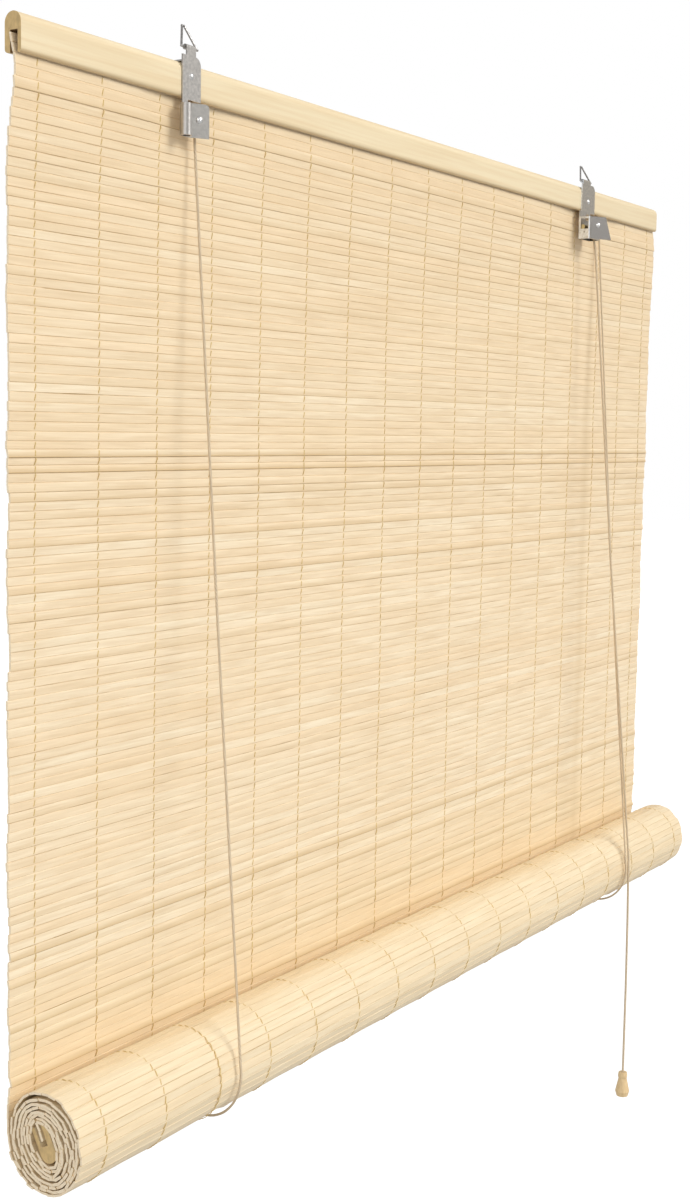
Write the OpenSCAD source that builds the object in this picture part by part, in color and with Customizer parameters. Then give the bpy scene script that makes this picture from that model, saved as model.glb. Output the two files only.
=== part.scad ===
// Bamboo roll-up blind.
// X runs along the headrail, -Y faces the room and +Z is up.
// The origin is on the headrail's flat back face, at its middle.

/* [Mat] */
// Length of the slats
mat_w = 1000; // [700:10:1800]
// Height that one slat takes up in the mat
slat_pitch = 5.75; // [4.5:0.05:7]
// Thickness of a slat
slat_t = 1.5; // [1:0.1:1.8]
// Thickness of the mat where two slats meet
slat_joint_t = 0.6; // [0.3:0.05:0.9]
// Slats that hang between the headrail and the roll
hanging_slats = 115; // [40:1:118]
// How far single slats stand out of the sheet
slat_ripple = 0.35; // [0:0.05:0.5]
// Height of a light gap between two slats
gap_h = 0.5; // [0.2:0.05:0.8]
// Length of a light gap
gap_len = 38; // [20:1:45]
// Distance between two warp threads
warp_pitch = 59.4; // [50:0.2:80]
// Distance of the first warp thread from the slats' ends
warp_edge = 24.8; // [10:0.2:60]
// How much farther back the mat hangs at the roll than in the slot
mat_lean = 1.6; // [0:0.1:3]

/* [Roll] */
// Half of the outer turn's depth
roll_ry = 31; // [29:0.5:45]
// Half of the outer turn's height
roll_rz = 33; // [31:0.5:45]
// Full turns of the mat in the roll
roll_turns = 6; // [3:1:6]
// Room round the bottom rail, along its height
core_room_long = 4.5; // [4:0.1:6]
// Room round the bottom rail, along its thickness
core_room_short = 4; // [3.5:0.1:6]
// Lean of the bottom rail inside the roll, in degrees
core_lean = 27; // [0:1:45]

/* [Rails] */
// Height of both rails
rail_h = 24; // [23:0.5:34]
// Thickness of both rails
rail_t = 13; // [12.5:0.5:18]
// How far the slats reach past a rail's end
slat_overhang = 7; // [0:0.5:10]
// Width of the slot that holds the mat
slot_w = 5.8; // [5.4:0.1:6.5]
// Depth of the slot
slot_depth = 13; // [12:0.5:15]
// Thickness of the slot's back lip
back_lip_t = 4.4; // [3.5:0.1:6]
// Rounding of the lips' outer edges
lip_round = 2.4; // [1:0.2:2.8]

/* [Brackets] */
// Thickness of the brackets' sheet steel
sheet_t = 1; // [0.8:0.1:1.2]
// Left bracket's distance from the slats' left end
left_inset = 160; // [120:5:300]
// Right bracket's distance from the slats' right end
right_inset = 206; // [180:5:300]
// Width of the left bracket's plate
left_plate_w = 20; // [18:0.5:24]
// Width of the right bracket's plate
right_plate_w = 30; // [26:0.5:34]
// Reach of the left bracket's plate above the headrail
left_plate_rise = 4; // [2:0.1:6]
// Reach of the right bracket's plate above the headrail
right_plate_rise = 2.3; // [1:0.1:2.5]
// Width of the left bracket's neck and ring eye
left_neck_w = 10; // [9:0.5:14]
// Width of the right bracket's neck and ring eye
right_neck_w = 17; // [14:0.5:20]
// Radius of the plates' shoulder
shoulder_r = 6; // [3:0.5:8]
// Height of the left ring eye above the headrail
left_eye_rise = 9.5; // [8:0.5:13]
// Height of the right ring eye above the headrail
right_eye_rise = 5; // [5:0.5:9]
// Height of the left bracket's part below the headrail
skirt_h = 25.5; // [22:0.5:28]
// Width of the left flange
left_flange_w = 16; // [14:0.5:20]
// Width of the right flange at its top
right_flange_top = 17.5; // [15:0.5:22]
// Width of the right flange at its foot
right_flange_foot = 24.5; // [20:0.5:30]
// Bend of the flanges towards the room, in degrees
flange_bend = 30; // [10:5:40]
// Outer diameter of the left bracket's guide tube
tube_d = 8; // [6:0.5:9]
// Distance of the guide tube's top below the headrail
tube_drop = 4.5; // [1:0.5:6]
// Distance of the left flange's top below the headrail
flange_drop = 3; // [1:0.5:6]
// Reach of the left claw over the headrail
left_claw_len = 11; // [8:0.5:12]
// Reach of the right claw over the headrail
right_claw_len = 6; // [5:0.5:12]
// Width of the claws at their root
claw_w = 7; // [5:0.5:8]

/* [Cord lock] */
// Width of the lock's box
lock_w = 24; // [22:0.5:26]
// Depth of the lock's box
lock_d = 11; // [10.5:0.5:12]
// Height of the lock's box
lock_h = 21.5; // [20:0.5:25]
// Distance of the lock's top below the headrail
lock_drop = 6.3; // [5:0.1:8]
// Height of the window in the box's sides
window_h = 10; // [8:0.5:10.5]
// Depth of the window in the box's sides
window_d = 8; // [6:0.2:8.4]
// Diameter of the lock's roller
roller_d = 4.4; // [4:0.1:4.6]
// Diameter of the dimples that carry the roller
dimple_d = 2.4; // [1.6:0.2:3]

/* [Fittings] */
// Wire diameter of the hanging rings
ring_wire = 1.6; // [1.2:0.1:2]
// Height of the hanging rings
ring_h = 17.5; // [14:0.5:20]
// Width of the hanging rings at their top
ring_top_w = 2.4; // [1:0.2:4]
// Lean of the rings to the back, in degrees
ring_lean = 20; // [0:5:40]
// Diameter of a screw's head
screw_head_d = 5; // [4:0.2:6]
// Diameter of a screw's or guide post's shank
shank_d = 2.5; // [2:0.1:3]
// Depth of a screw in the headrail
screw_len = 8; // [5:0.5:9]
// Length of a guide post behind its flange
post_len = 2.5; // [1.5:0.5:3]
// Thickness of the cord staples' square wire
staple_wire = 1.2; // [0.8:0.1:1.6]
// Width of a cord staple
staple_w = 7; // [5:0.5:10]
// How far a staple stands out of the wood
staple_drop = 4.5; // [2:0.1:5]
// Depth of a staple's legs in the wood
staple_depth = 6; // [4:0.5:8]

/* [Pull knob] */
// Height of the knob
knob_h = 25; // [20:0.5:34]
// Diameter of the knob at its widest
knob_d = 14.5; // [12:0.5:20]
// Diameter of the knob's top
knob_top_d = 9.5; // [8:0.5:12]
// Diameter of the knob's bore
knob_bore_d = 3; // [2.6:0.1:4]
// Diameter of the hollow for the knot
knob_hollow_d = 8; // [6:0.5:9]
// Depth of the hollow for the knot
knob_hollow_h = 9; // [7:0.5:12]
// Diameter of the knot
knot_d = 6; // [4:0.2:7]

/* [Cords] */
// Diameter of the lift cords
cord_d = 1.8; // [1.4:0.1:2]
// Diameter of the pull cord, the two lift cords' ends laid together
pull_cord_d = 2.2; // [1.8:0.1:2.4]

/* [Hidden] */

$fn = 48;

// Lengths by which cuts run past the solid that they cut
overrun = 1;

// Clearances between pieces that stay apart
wire_clearance = 0.1;
mat_clearance = 0.3;
roller_clearance = 0.25;
core_clearance = 1.5;

// Rails
rail_len = mat_w - 2 * slat_overhang;
rail_low = -rail_h / 2;
rail_top = rail_h / 2;
nose_r = rail_t / 2;
slot_front = -back_lip_t - slot_w;
front_lip_t = rail_t - back_lip_t - slot_w;

// Mat in the slot and below it
seated_slats = 2;
seat_offset = 2.2;
seat_tilt = 1.2;
mat_y = -back_lip_t - seat_offset;
mat_top = rail_low + seated_slats * slat_pitch;
mat_count = hanging_slats + seated_slats;

// Roll
roll_y = mat_y + mat_lean - roll_ry;
roll_z = rail_low - hanging_slats * slat_pitch;
core_a = rail_h / 2 + core_room_long;
core_b = rail_t / 2 + core_room_short;
core_nose_angle = 90 + core_lean;
core_mouth_angle = core_nose_angle + 180;
core_entry_angle = 22;
core_end_r = rail_h / 2 + slat_t / 2 + core_clearance;
roll_end_angle = 360 * roll_turns + core_mouth_angle - core_entry_angle;
roll_ripple_share = 0.3;

// Form of a slat and spread of the ripple and the gaps
slat_edge_share = 0.2;
slat_edge = slat_pitch * slat_edge_share;
golden_angle = 137.5;
gap_stride = 7;
bays = floor((mat_w - 2 * warp_edge) / warp_pitch);

// Brackets
left_x = -mat_w / 2 + left_inset;
right_x = mat_w / 2 - right_inset;
face_y = -rail_t;
eye_d = ring_wire + 2 * wire_clearance + 2 * sheet_t;
eye_y = face_y - sheet_t + eye_d / 2;
left_eye_z = rail_top + left_eye_rise;
right_eye_z = rail_top + right_eye_rise;
skirt_low = rail_low - skirt_h;
flange_round = 3;
claw_tip_share = 0.3;
left_claw_offset = 2.5;
right_claw_offset = 16;
left_neck_offset = 4.5;
right_neck_offset = 6;
right_plate_offset = 3.5;
left_bend_x = tube_d / 2 + 2 * sheet_t;
ring_overhang = 3.6;
ring_corner_share = 1.12;

// Places of the screws and posts on their plates
screw_wood = 0.4;
lip_screw_share = 0.77;
left_post_drop_share = 0.53;
right_post_drop_share = 0.37;
left_post_share = 0.55;
right_post_share = 0.5;
dome_share = 0.5;

// Cord lock
lock_wall = sheet_t;
lock_round = 1.4;
lock_top = rail_low - lock_drop;
lock_low = lock_top - lock_h;
lock_front = face_y - sheet_t - lock_d;
fold_share = 0.7;
fold_x = lock_round + sheet_t;
fold_y = lock_front + sheet_t * fold_share;
roller_len = lock_w - 2 * lock_wall - 2 * roller_clearance;
roller_y = face_y - sheet_t - roller_d / 2 - 2 * roller_clearance;
roller_rise = 11.8;
roller_z = lock_low + roller_rise;
dimple_reach = 1.5;
window_low = roller_z - roller_d / 2;
cord_hole_w = 8;
cord_hole_h = 6;
cord_hole_drop = 2.5;

// Pull knob
knob_x = 342;
knob_y = -70;
knob_top_z = -890;
knob_foot_z = knob_top_z - knob_h;
knob_neck_share = 0.26;
knob_waist_share = 0.9;
knob_wide_share = 0.2;
knob_foot_share = 0.8;
knob_ring_share = 0.08;
knot_seat_z = knob_foot_z + knob_hollow_h;

// Cords, as points along their middle line
cord_sides = 8;
left_lift_route = [
    [-330, -2.3, -16.6], [-330, -2.3, -340], [-333, -2.4, -660], [-336, -2.4, -674],
    [-336, -4.4, -686], [-336, -10, -696.5], [-336, -19, -704.5], [-336, -30, -709],
    [-336.5, -42, -709], [-337, -53.5, -704], [-337, -62, -695.5], [-337, -67, -685],
    [-337, -68.6, -674], [-337, -67.8, -664], [-330, -38, -340], [-324, -12.5, -44],
    [-324, -11.4, -28], [-324, -9.6, -18], [-323.5, -9, -12.5], [-322, -9, -9],
    [-319, -9, -6.8], [-315, -9, -6], [290, -9, -6], [308, -9, -6]];
right_lift_route = [
    [330, -2.3, -16.6], [330, -2.3, -340], [333, -2.4, -660], [335, -2.4, -674],
    [335, -4.4, -686], [335, -10, -696.5], [335, -19, -704.5], [335, -30, -709],
    [335, -42, -709], [335, -53.5, -704], [335, -62, -695.5], [335, -67, -685],
    [335, -68.6, -674], [335, -67.8, -664], [338, -38, -340], [346, -12.5, -44],
    [346, -11.4, -28], [346, -9.6, -18], [345.5, -9, -12.5], [344, -9, -9],
    [341, -9, -6.8], [337, -9, -6], [326, -9, -6], [316, -9, -6]];
pull_route = [
    [312, -9, -7], [312, -8.95, -13.4], [312, -9.4, -15.8], [312, -12.2, -18.2],
    [312, -15.6, -19.2], [312, -18.8, -20.2], [312, -21.2, -22.6], [312, -21.7, -26],
    [312, -21.7, -41], [313, -22.8, -49], [322, -45.5, -350], [340, -68.9, -662], [340, -69.2, -674]];
tail_route = [[340, -69.2, -674.2], [341.5, -69.6, -730], [342, -70, -800], [342, -70, -889.8]];

function unit(v) = v / norm(v);
function left_of(v) = [-v[1], v[0]];
function backwards(list) = [for (i = [len(list) - 1 : -1 : 0]) list[i]];

// One face of a strip of slats whose joints are the points p
function strip_face(p, sign) = concat(
    [for (i = [0 : len(p) - 2])
        let (run = p[i + 1] - p[i],
             out = left_of(unit(run)) * sign,
             last_run = i == 0 ? run : p[i] - p[i - 1],
             corner = unit(left_of(unit(last_run)) + left_of(unit(run))) * sign)
        each [p[i] + corner * slat_joint_t / 2,
              p[i] + unit(run) * slat_edge + out * slat_t / 2,
              p[i + 1] - unit(run) * slat_edge + out * slat_t / 2]],
    [p[len(p) - 1] + left_of(unit(p[len(p) - 1] - p[len(p) - 2])) * sign * slat_joint_t / 2]);

function strip_outline(p) = concat(strip_face(p, 1), backwards(strip_face(p, -1)));

// Joints of the hanging slats, from the slot down to the roll
function mat_joint_y(k) =
    mat_y + mat_lean * k / mat_count
    + (k == 0 ? seat_tilt : k < mat_count ? slat_ripple * sin(golden_angle * k) : 0);
function mat_joint_z(k) = k < mat_count ? mat_top - k * slat_pitch : roll_z + mat_clearance;
mat_joints = [for (k = [0 : mat_count]) [mat_joint_y(k), mat_joint_z(k)]];

// Joints of the rolled slats, from the back of the roll inwards, with angles from the back downwards
function oval_r(angle, a, b) = a * b / sqrt(pow(b * cos(angle), 2) + pow(a * sin(angle), 2));
function turn_r(angle) =
    let (inward = angle / roll_end_angle)
    (1 - inward) * oval_r(angle, roll_ry, roll_rz)
    + inward * oval_r(angle - core_nose_angle, core_a, core_b);
function turn_angles(angle, found) =
    angle > roll_end_angle - slat_pitch / core_a * 180 / PI / 2
        ? concat(found, [roll_end_angle])
        : turn_angles(angle + slat_pitch / turn_r(angle) * 180 / PI, concat(found, [angle]));
function roll_point(angle, r) = [roll_y + r * cos(angle), roll_z - r * sin(angle)];
wound_angles = turn_angles(0, []);
wound_count = len(wound_angles);
roll_joints = concat(
    [for (k = [0 : wound_count - 1])
        let (held = k == 0 || k == wound_count - 1,
             wave = held ? 0 : slat_ripple * roll_ripple_share * sin(golden_angle * k))
        roll_point(wound_angles[k], turn_r(wound_angles[k]) + wave)],
    [for (n = [0 : seated_slats]) roll_point(core_mouth_angle, core_end_r - n * slat_pitch)]);

// Rings of a cord's tube along its route, each square to the route
function route_run(p, i) =
    unit(i == 0 ? p[1] - p[0]
         : i == len(p) - 1 ? p[i] - p[i - 1]
         : unit(p[i] - p[i - 1]) + unit(p[i + 1] - p[i]));
function carried(v, run) = unit(v - run * (v * run));
function ring_sides(p, i, v) =
    i == len(p) ? []
    : let (now = carried(v, route_run(p, i))) concat([now], ring_sides(p, i + 1, now));

module tube(route, d) {
    first_run = route_run(route, 0);
    sides = ring_sides(route, 0, carried([1, 0, 0] - first_run / 2, first_run));
    points = [for (i = [0 : len(route) - 1])
        let (up = cross(route_run(route, i), sides[i]))
        for (s = [0 : cord_sides - 1])
            route[i] + d / 2 * (sides[i] * cos(360 * s / cord_sides) + up * sin(360 * s / cord_sides))];
    walls = [for (i = [0 : len(route) - 2], s = [0 : cord_sides - 1])
        let (t = (s + 1) % cord_sides)
        [i * cord_sides + s, (i + 1) * cord_sides + s, (i + 1) * cord_sides + t, i * cord_sides + t]];
    ends = [[for (s = [0 : cord_sides - 1]) s],
            [for (s = [cord_sides - 1 : -1 : 0]) (len(route) - 1) * cord_sides + s]];
    polyhedron(points, concat(walls, ends));
}

// A solid along X from an outline drawn in Y and Z
module along_x(length) {
    translate([-length / 2, 0, 0])
        rotate([90, 0, 90])
            linear_extrude(length)
                children();
}

// A sheet on the headrail's front face from an outline drawn in X and Z
module front_sheet() {
    translate([0, face_y, 0])
        rotate([90, 0, 0])
            linear_extrude(sheet_t)
                children();
}

// Outline with its upper right corner rounded, from the lower left corner
module shouldered(w, h, r) {
    square([w - r, h]);
    square([w, h - r]);
    translate([w - r, h - r])
        circle(r);
}

// Section of a rail about its middle: round nose on top, slot from below
module rail_section() {
    difference() {
        union() {
            translate([-rail_t / 2, rail_low + lip_round])
                square([rail_t, rail_h - lip_round - nose_r]);
            translate([0, rail_top - nose_r])
                circle(nose_r);
            translate([lip_round - rail_t / 2, rail_low])
                square([rail_t - 2 * lip_round, 2 * lip_round]);
            for (side = [-1, 1])
                translate([side * (rail_t / 2 - lip_round), rail_low + lip_round])
                    circle(lip_round);
        }
        translate([slot_front + rail_t / 2, rail_low - overrun])
            square([slot_w, slot_depth + overrun]);
    }
}

module headrail() {
    color("burlywood")
        difference() {
            translate([0, -rail_t / 2, 0])
                along_x(rail_len)
                    rail_section();
            for (screw = screws)
                translate([screw[0], face_y - overrun, screw[1]])
                    rotate([-90, 0, 0])
                        cylinder(h = screw[2] + overrun, d = shank_d);
            for (place = staple_places)
                staple_legs(place);
        }
}

module hanging_mat() {
    color("wheat")
        difference() {
            along_x(mat_w)
                polygon(strip_outline(mat_joints));
            for (k = [seated_slats + 1 : mat_count - 1])
                translate([gap_x(k), mat_joints[k][0], mat_joints[k][1]])
                    cube([gap_len, slat_t + overrun, gap_h], center = true);
        }
}

// Middle of the gap above the k-th slat, in a bay between two warp threads
function gap_x(k) = warp_edge - mat_w / 2 + ((k * gap_stride) % bays + 1 / 2) * warp_pitch;

module rolled_mat() {
    color("wheat")
        along_x(mat_w)
            polygon(strip_outline(roll_joints));
}

module bottom_rail() {
    color("burlywood")
        translate([0, roll_y, roll_z])
            along_x(rail_len)
                rotate(180 - core_lean)
                    rail_section();
}

// X and Z of the screws with their depth in the wood: one above the slot, one in the slot's front lip
left_screw = [left_x + left_plate_w / 2, rail_low + slot_depth + screw_wood + shank_d / 2, screw_len];
right_screw = [right_x + right_plate_offset + right_plate_w / 2,
               rail_low + slot_depth * lip_screw_share, front_lip_t - screw_wood];
screws = [left_screw, right_screw];

// Places of the posts on their flanges, and of the staples
left_post = [left_flange_w * left_post_share, rail_low - skirt_h * left_post_drop_share];
right_post = [right_flange_top * right_post_share, lock_top - lock_h * right_post_drop_share];
staple_y = -back_lip_t / 2;
staple_places = [left_lift_route[0][0], right_lift_route[0][0]];

// Plate, neck and ring eye that both brackets share, with their places from the bracket's left edge
module bracket_top(plate_x, plate_w, plate_rise, neck_x, neck_w, eye_z, screw_z) {
    front_sheet()
        difference() {
            union() {
                translate([plate_x, rail_low - sheet_t])
                    shouldered(plate_w, rail_h + sheet_t + plate_rise, shoulder_r);
                translate([neck_x, 0])
                    square([neck_w, eye_z]);
            }
            translate([plate_x + plate_w / 2, screw_z])
                circle(d = shank_d);
        }
    eye_bar(neck_x, neck_w, eye_z);
}

// The neck's end, curled into an eye round the ring's bar
module eye_bar(neck_x, neck_w, eye_z) {
    translate([neck_x, eye_y, eye_z])
        rotate([0, 90, 0])
            difference() {
                cylinder(h = neck_w, d = eye_d);
                translate([0, 0, -overrun])
                    cylinder(h = neck_w + 2 * overrun, d = ring_wire + 2 * wire_clearance);
            }
}

// Pointed tongue that is bent back over the headrail
module claw(claw_x, reach) {
    translate([claw_x, face_y - sheet_t, rail_top])
        linear_extrude(sheet_t)
            polygon([[0, 0], [claw_w, 0], [claw_w, sheet_t],
                     [claw_w * claw_tip_share, sheet_t + reach], [0, sheet_t + reach]]);
}

// Turns what is drawn on a sheet at X = 0 towards the room, about an upright line
module bent_at(bend_x, bend_y) {
    translate([bend_x, bend_y, 0])
        rotate([0, 0, -flange_bend])
            translate([0, -face_y, 0])
                children();
}

// Sheet with a hole for a post
module flange(post) {
    difference() {
        front_sheet()
            children();
        translate([post[0], face_y + overrun, post[1]])
            rotate([90, 0, 0])
                cylinder(h = sheet_t + 2 * overrun, d = shank_d);
    }
}

module left_bracket() {
    tube_y = face_y - tube_d / 2;
    color("silver")
        translate([left_x, 0, 0]) {
            difference() {
                union() {
                    bracket_top(0, left_plate_w, left_plate_rise, left_neck_offset, left_neck_w,
                                left_eye_z, left_screw[1]);
                    claw(left_claw_offset, left_claw_len);
                    front_sheet()
                        translate([0, skirt_low])
                            square([left_bend_x, skirt_h]);
                    translate([0, tube_y, skirt_low])
                        cylinder(h = skirt_h - tube_drop, d = tube_d);
                }
                translate([0, tube_y, skirt_low - overrun])
                    cylinder(h = skirt_h + overrun, d = tube_d - 2 * sheet_t);
            }
            bent_at(left_bend_x, face_y)
                flange(left_post)
                    translate([0, skirt_low])
                        shouldered(left_flange_w, skirt_h - flange_drop, flange_round);
        }
}

// Plan of the lock's box, open to the plate behind it
module lock_plan(wall) {
    w = lock_w - 2 * wall;
    d = lock_d - wall;
    r = lock_round - wall;
    translate([wall, r - d])
        square([w, d - r]);
    translate([wall + r, -d])
        square([w - 2 * r, 2 * r]);
    for (x = [wall + r, wall + w - r])
        translate([x, r - d])
            circle(r);
}

module lock_box() {
    translate([0, face_y - sheet_t, lock_low])
        difference() {
            linear_extrude(lock_h)
                lock_plan(0);
            translate([0, 0, -overrun])
                linear_extrude(lock_h + 2 * overrun)
                    lock_plan(lock_wall);
            translate([-overrun, -sheet_t - window_d, window_low - lock_low])
                cube([lock_w + 2 * overrun, window_d, window_h]);
        }
    for (x = [lock_wall, lock_w - lock_wall - dimple_reach])
        translate([x, roller_y, window_low - roller_clearance - dimple_d / 2])
            rotate([0, 90, 0])
                cylinder(h = dimple_reach, d = dimple_d);
}

module right_bracket() {
    color("silver")
        translate([right_x, 0, 0])
            difference() {
                union() {
                    bracket_top(right_plate_offset, right_plate_w, right_plate_rise, right_neck_offset,
                                right_neck_w, right_eye_z, right_screw[1]);
                    claw(right_claw_offset, right_claw_len);
                    front_sheet()
                        translate([0, lock_low])
                            square([lock_w, rail_low - lock_low]);
                    lock_box();
                    bent_at(fold_x, fold_y)
                        flange(right_post)
                            polygon([[0, lock_low], [right_flange_foot, lock_low],
                                     [right_flange_top, lock_top], [0, lock_top]]);
                }
                translate([pull_route[0][0] - right_x - cord_hole_w / 2, face_y - sheet_t - overrun,
                           rail_low - cord_hole_drop - cord_hole_h])
                    cube([cord_hole_w, sheet_t + 2 * overrun, cord_hole_h]);
            }
}

// Wire ring with a blunt tip, whose lower bar lies in a bracket's eye
module hanging_ring(middle_x, neck_w, eye_z) {
    half = neck_w / 2 + ring_overhang;
    rise = ring_h - ring_wire;
    top_y = rise * sin(ring_lean);
    top_z = rise * cos(ring_lean);
    corners = [[-half, 0, 0], [half, 0, 0], [ring_top_w / 2, top_y, top_z], [-ring_top_w / 2, top_y, top_z]];
    color("gainsboro")
        translate([middle_x, eye_y, eye_z])
            for (i = [0 : 3])
                wire(corners[i], corners[(i + 1) % 4]);
}

// A round wire between two points, a little thicker at the bend where it starts
module wire(from, to) {
    run = to - from;
    translate(from) {
        sphere(d = ring_wire * ring_corner_share);
        rotate([0, acos(run[2] / norm(run)), atan2(run[1], run[0])])
            cylinder(h = norm(run), d = ring_wire);
    }
}

module left_ring() {
    hanging_ring(left_x + left_neck_offset + left_neck_w / 2, left_neck_w, left_eye_z);
}

module right_ring() {
    hanging_ring(right_x + right_neck_offset + right_neck_w / 2, right_neck_w, right_eye_z);
}

module lock_roller() {
    color("goldenrod")
        translate([right_x + lock_wall + roller_clearance, roller_y, roller_z])
            rotate([0, 90, 0])
                cylinder(h = roller_len, d = roller_d);
}

// Domed head in front of a sheet, with its shank behind
module domed_pin(shank_len) {
    dome_h = screw_head_d / 2 * dome_share;
    dome_r = (pow(screw_head_d / 2, 2) + pow(dome_h, 2)) / (2 * dome_h);
    rotate([90, 0, 0]) {
        intersection() {
            translate([0, 0, dome_h - dome_r])
                sphere(dome_r);
            cylinder(h = dome_h, d = screw_head_d);
        }
        translate([0, 0, -shank_len])
            cylinder(h = shank_len + dome_h / 2, d = shank_d);
    }
}

module bracket_screws() {
    color("whitesmoke")
        for (screw = screws)
            translate([screw[0], face_y - sheet_t, screw[1]])
                domed_pin(sheet_t + screw[2]);
}

module guide_posts() {
    color("whitesmoke") {
        translate([left_x, 0, 0])
            bent_at(left_bend_x, face_y)
                translate([left_post[0], face_y - sheet_t, left_post[1]])
                    domed_pin(sheet_t + post_len);
        translate([right_x, 0, 0])
            bent_at(fold_x, fold_y)
                translate([right_post[0], face_y - sheet_t, right_post[1]])
                    domed_pin(sheet_t + post_len);
    }
}

// The two legs of a staple, driven into the headrail's back lip
module staple_legs(middle_x) {
    for (side = [-1, 1])
        translate([middle_x + side * (staple_w - staple_wire) / 2 - staple_wire / 2,
                   staple_y - staple_wire / 2, rail_low - staple_drop])
            cube([staple_wire, staple_wire, staple_drop + staple_depth]);
}

module cord_staples() {
    color("silver")
        for (middle_x = staple_places) {
            staple_legs(middle_x);
            translate([middle_x - staple_w / 2, staple_y - staple_wire / 2, rail_low - staple_drop])
                cube([staple_w, staple_wire, staple_wire]);
        }
}

module left_lift_cord() {
    color("tan")
        tube(left_lift_route, cord_d);
}

module right_lift_cord() {
    color("tan")
        tube(right_lift_route, cord_d);
}

module pull_cord() {
    color("tan")
        tube(pull_route, pull_cord_d);
}

module pull_cord_tail() {
    color("tan")
        tube(tail_route, pull_cord_d);
}

// Turned bell with a ring below its top and a hollow for the knot
module pull_knob() {
    foot_r = knob_d / 2;
    top_r = knob_top_d / 2;
    wide_h = knob_h * knob_wide_share;
    neck_h = knob_h * (1 - knob_neck_share);
    collar_h = knob_h * knob_ring_share;
    color("burlywood")
        translate([knob_x, knob_y, knob_foot_z])
            difference() {
                rotate_extrude()
                    polygon([[0, 0], [foot_r * knob_foot_share, 0], [foot_r, wide_h],
                             [top_r * knob_waist_share, neck_h], [top_r, neck_h + collar_h],
                             [top_r, neck_h + 2 * collar_h],
                             [top_r * knob_waist_share, knob_h], [0, knob_h]]);
                translate([0, 0, -overrun])
                    cylinder(h = knob_h + 2 * overrun, d = knob_bore_d);
                translate([0, 0, -overrun])
                    cylinder(h = knob_hollow_h + overrun, d = knob_hollow_d);
            }
}

// Knot that carries the knob, with the cord's last stretch through the bore
module cord_knot() {
    color("tan")
        translate([knob_x, knob_y, knot_seat_z - knot_d / 2]) {
            sphere(d = knot_d);
            cylinder(h = knob_top_z - knot_seat_z + knot_d / 2, d = pull_cord_d);
        }
}

headrail();
hanging_mat();
rolled_mat();
bottom_rail();
left_bracket();
right_bracket();
left_ring();
right_ring();
lock_roller();
bracket_screws();
guide_posts();
cord_staples();
left_lift_cord();
right_lift_cord();
pull_cord();
pull_cord_tail();
pull_knob();
cord_knot();
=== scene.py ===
# %% [markdown]
# # A bamboo roll-up blind
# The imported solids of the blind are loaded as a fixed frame, in metres. X runs along the headrail,
# -Y faces the room and Z is up, with the origin on the back of the headrail. The headrail and the metal
# fittings stay as they are and only get their finish. The woven mat, its threads and the cords are
# modelled here, because they are soft and made of hundreds of small pieces, and the bottom rail is
# drawn out a little at its ends.

# %% Load the frame
import math

import bpy
import numpy as np
from mathutils import Matrix, Vector
from mathutils.kdtree import KDTree


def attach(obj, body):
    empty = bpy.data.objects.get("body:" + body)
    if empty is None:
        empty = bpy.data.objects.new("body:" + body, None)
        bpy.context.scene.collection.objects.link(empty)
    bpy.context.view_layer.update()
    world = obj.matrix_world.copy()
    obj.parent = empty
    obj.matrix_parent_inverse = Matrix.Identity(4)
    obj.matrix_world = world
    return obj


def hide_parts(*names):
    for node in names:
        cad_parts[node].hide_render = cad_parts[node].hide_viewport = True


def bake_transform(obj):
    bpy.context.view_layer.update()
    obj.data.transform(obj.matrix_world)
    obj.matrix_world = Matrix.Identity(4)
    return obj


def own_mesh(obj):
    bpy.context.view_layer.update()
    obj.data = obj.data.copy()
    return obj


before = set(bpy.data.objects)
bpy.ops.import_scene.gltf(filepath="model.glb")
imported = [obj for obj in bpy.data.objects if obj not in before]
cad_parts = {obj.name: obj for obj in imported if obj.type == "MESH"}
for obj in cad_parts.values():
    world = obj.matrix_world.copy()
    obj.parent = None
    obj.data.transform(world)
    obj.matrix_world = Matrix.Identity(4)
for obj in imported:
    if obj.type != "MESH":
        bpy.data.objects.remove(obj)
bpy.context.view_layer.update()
MM = 0.001
dice = np.random.default_rng(11)

# %% [markdown]
# ## Camera
# The photograph looks at the blind from its left, a little above the middle. The camera's place and
# angles were worked out from the edges of the headrail, the mat and the roll, which are straight and
# square on the real blind. A 50 mm lens on the long side of the picture gives the same perspective.

# %% Camera
CAMERA_PLACE = Vector((-1.2501, -0.7221, -0.2304))
CAMERA_YAW = 57.776
CAMERA_PITCH = -5.773
CAMERA_ROLL = 0.982
CAMERA_LENS = 50.54


def turn(degrees, axis):
    return Matrix.Rotation(math.radians(degrees), 4, axis)


camera_data = bpy.data.cameras.new("camera")
camera_data.lens = CAMERA_LENS
camera_data.sensor_width = 36
camera = bpy.data.objects.new("camera", camera_data)
bpy.context.scene.collection.objects.link(camera)
aim = turn(-CAMERA_YAW, "Z") @ turn(90 + CAMERA_PITCH, "X") @ turn(CAMERA_ROLL, "Z")
camera.matrix_world = Matrix.Translation(CAMERA_PLACE) @ aim
bpy.context.scene.camera = camera
print("camera at", tuple(camera.location))

# %% [markdown]
# ## Materials
# Each finish is a small node tree on Object coordinates or on an attribute of the mesh. The helpers
# below add a node, join two sockets and mix two colours, so that a finish reads from top to bottom.

# %% Node helpers


def new_material(name, roughness, metallic=0.0):
    material = bpy.data.materials.new(name)
    material.use_nodes = True
    shader = material.node_tree.nodes["Principled BSDF"]
    shader.inputs["Roughness"].default_value = roughness
    shader.inputs["Metallic"].default_value = metallic
    return material, shader


def add_node(material, kind, **settings):
    node = material.node_tree.nodes.new(kind)
    for name, value in settings.items():
        setattr(node, name, value)
    return node


def join(material, source, target):
    material.node_tree.links.new(source, target)


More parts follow.
